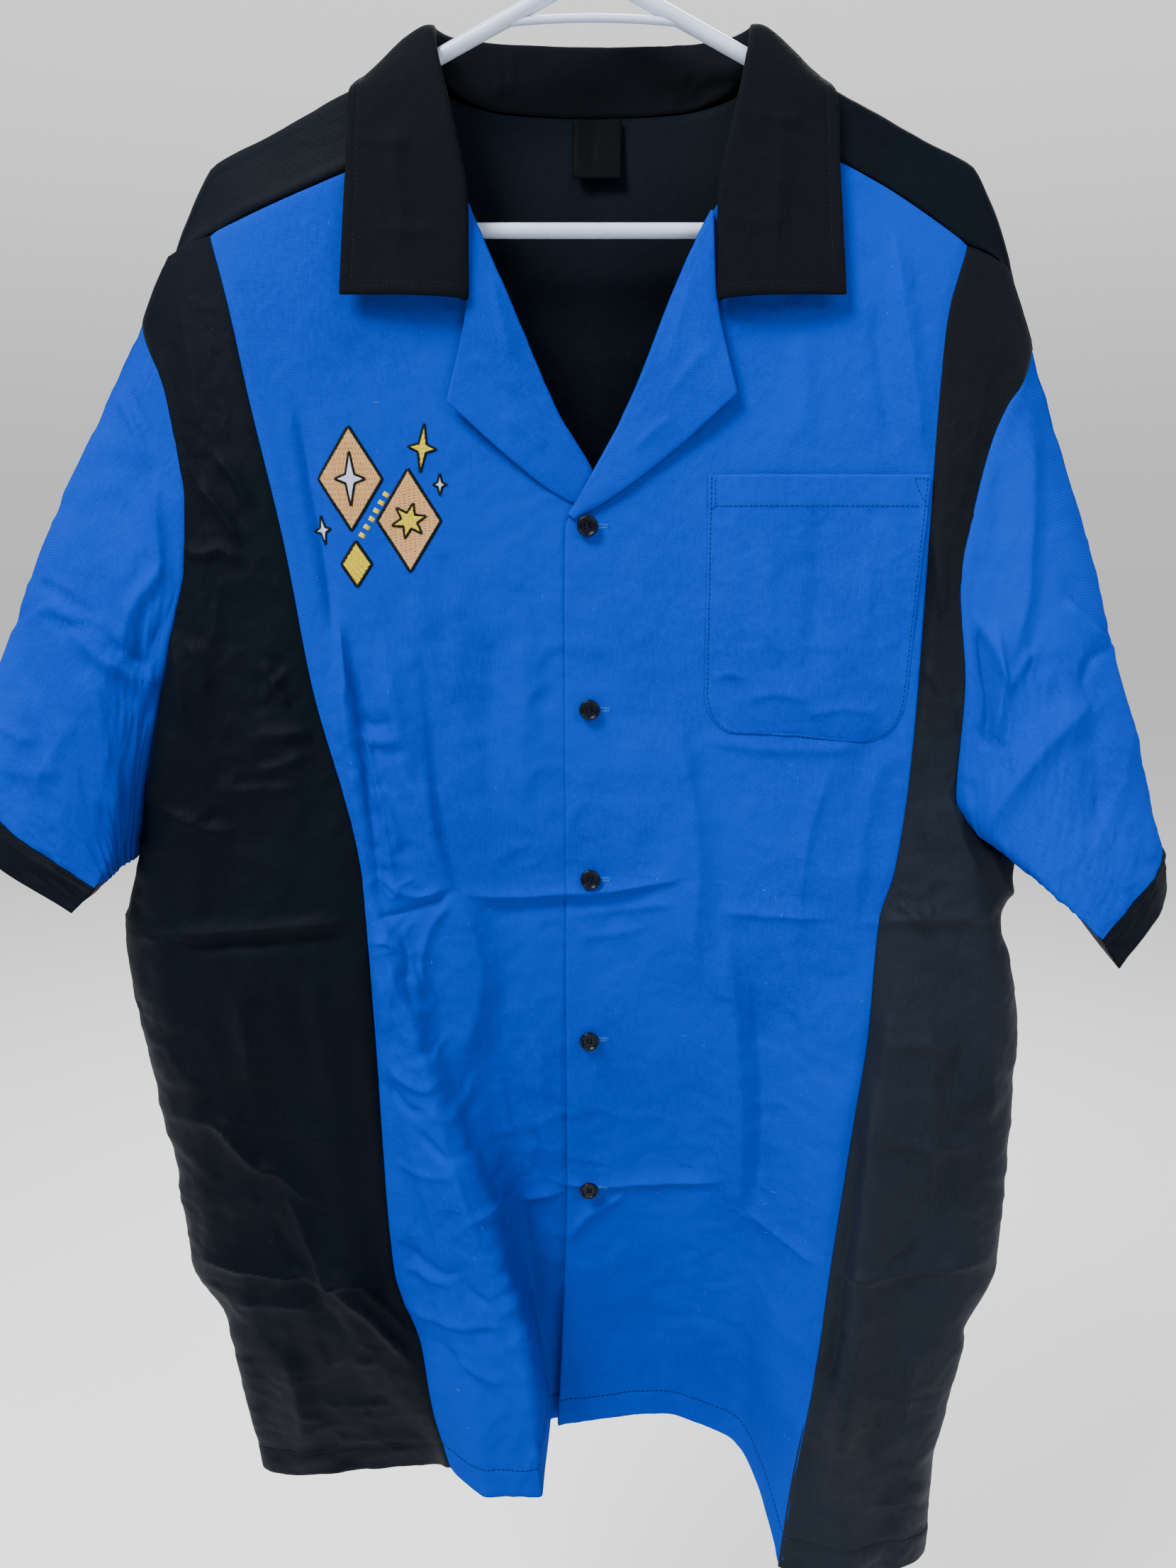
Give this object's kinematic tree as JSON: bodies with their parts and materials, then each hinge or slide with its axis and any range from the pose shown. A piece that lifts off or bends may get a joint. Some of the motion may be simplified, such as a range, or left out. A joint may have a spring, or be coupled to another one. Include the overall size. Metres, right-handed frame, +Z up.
{
  "type": "bowling shirt on a hanger",
  "caption": "Short-sleeved camp-collar shirt in two colours of twill, buttoned, hanging on a tubular plastic hanger with a hook.",
  "frame": {"origin": "inside top of the hanger's hook, where the rail that carries it would touch", "axes": "+Z up, the shirt's front faces -Y, +X is the wearer's left"},
  "size_m": [0.737, 0.1481, 0.9987],
  "materials": {
    "blue_twill": "royal blue polyester-cotton twill with a slight sheen",
    "black_twill": "black polyester-cotton twill, grey sheen on the folds",
    "label_satin": "woven black satin, bare",
    "buttons": "dark rimmed four-hole shirt button",
    "hanger_plastic": "white moulded tube, semi-gloss"
  },
  "bodies": {
    "root": {"front_left": "blue_twill", "front_right": "blue_twill", "side_panel_left": "black_twill", "side_panel_right": "black_twill", "back": "black_twill", "sleeve_left": "blue_twill", "sleeve_right": "blue_twill", "cuff_left": "black_twill", "cuff_right": "black_twill", "collar": "black_twill", "lapel_left": "blue_twill", "lapel_right": "blue_twill", "pocket": "blue_twill", "neck_label": "label_satin", "button_1": "buttons", "button_2": "buttons", "button_3": "buttons", "button_4": "buttons", "button_5": "buttons", "hanger": "hanger_plastic"}
  },
  "joints": []
}
